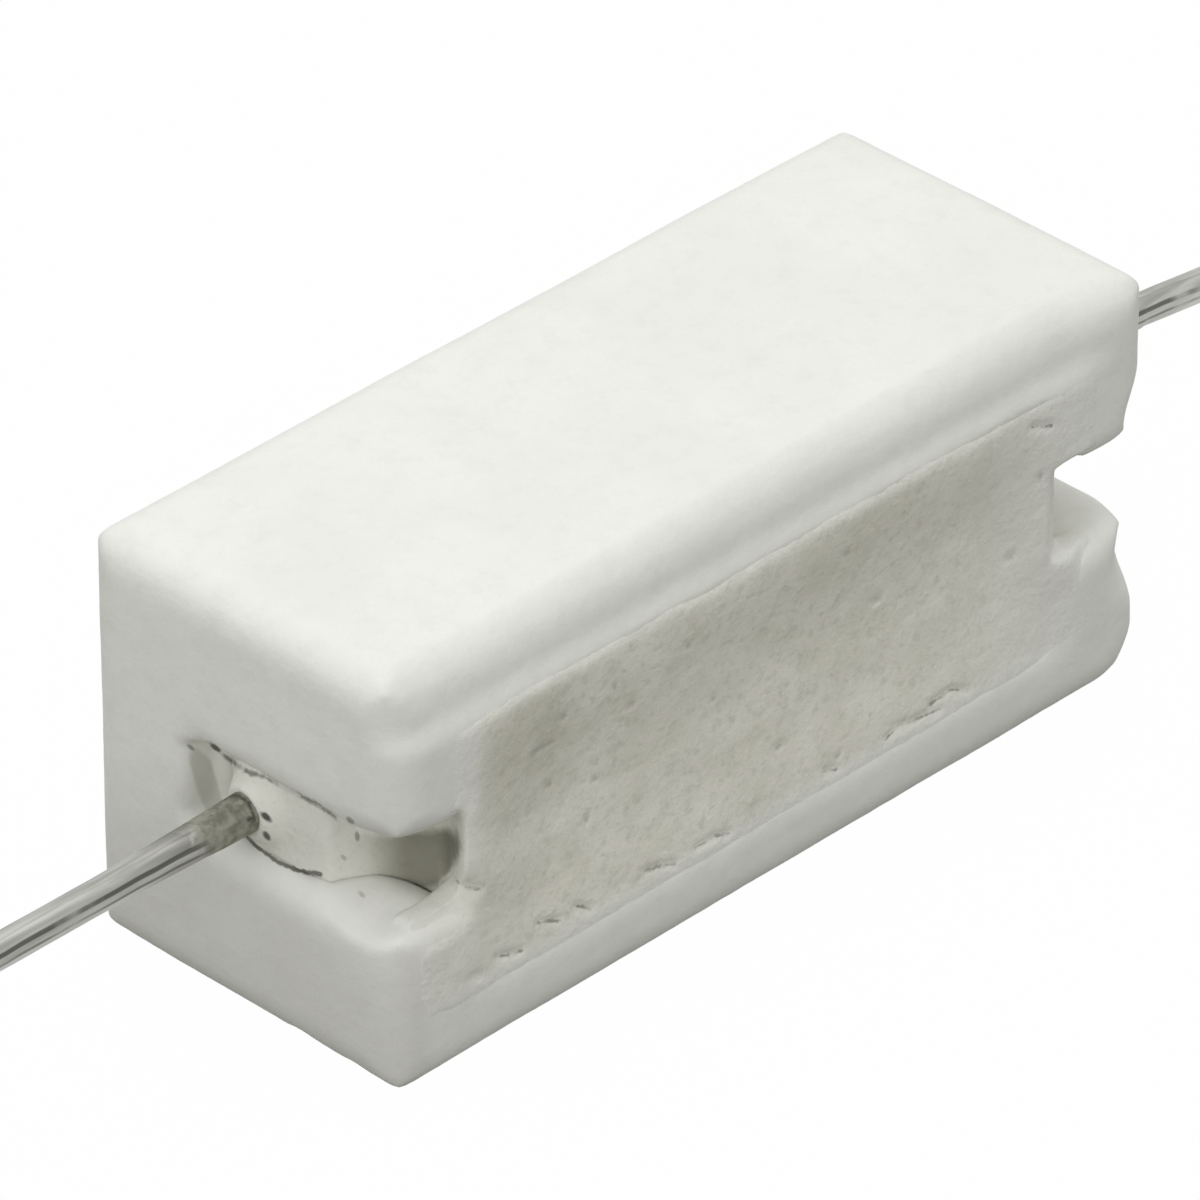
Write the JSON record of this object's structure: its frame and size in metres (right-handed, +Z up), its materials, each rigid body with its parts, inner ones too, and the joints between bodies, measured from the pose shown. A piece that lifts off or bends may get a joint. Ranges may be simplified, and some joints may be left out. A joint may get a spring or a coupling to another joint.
{
  "type": "axial resistor",
  "caption": "Cement-potted wirewound power resistor: a wound ceramic rod in an open, rectangular ceramic case, with a tinned wire lead out of each end slot.",
  "frame": {"origin": "on the resting surface, under the middle of the case: the base face's centre", "axes": "+X along the leads, towards the drooping lead; -Y out of the open, cemented side; +Z up, away from the resting surface"},
  "size_m": [0.072, 0.0088, 0.0099],
  "materials": {
    "case_ceramic": "unglazed white steatite, satin to matte, with a fine grain",
    "cement": "matte grey cement with pits and hair cracks",
    "core_ceramic": "unglazed, matte",
    "resistance_wire": "dull drawn resistance wire",
    "cap_metal": "plated pressed steel, satin",
    "tinned_wire": "tinned, bright with dull streaks"
  },
  "bodies": {
    "root": {"case": "case_ceramic", "cement": "cement", "core_rod": "core_ceramic", "winding": "resistance_wire", "cap_left": "cap_metal", "cap_right": "cap_metal", "lead_left": "tinned_wire", "lead_right": "tinned_wire"}
  },
  "joints": []
}
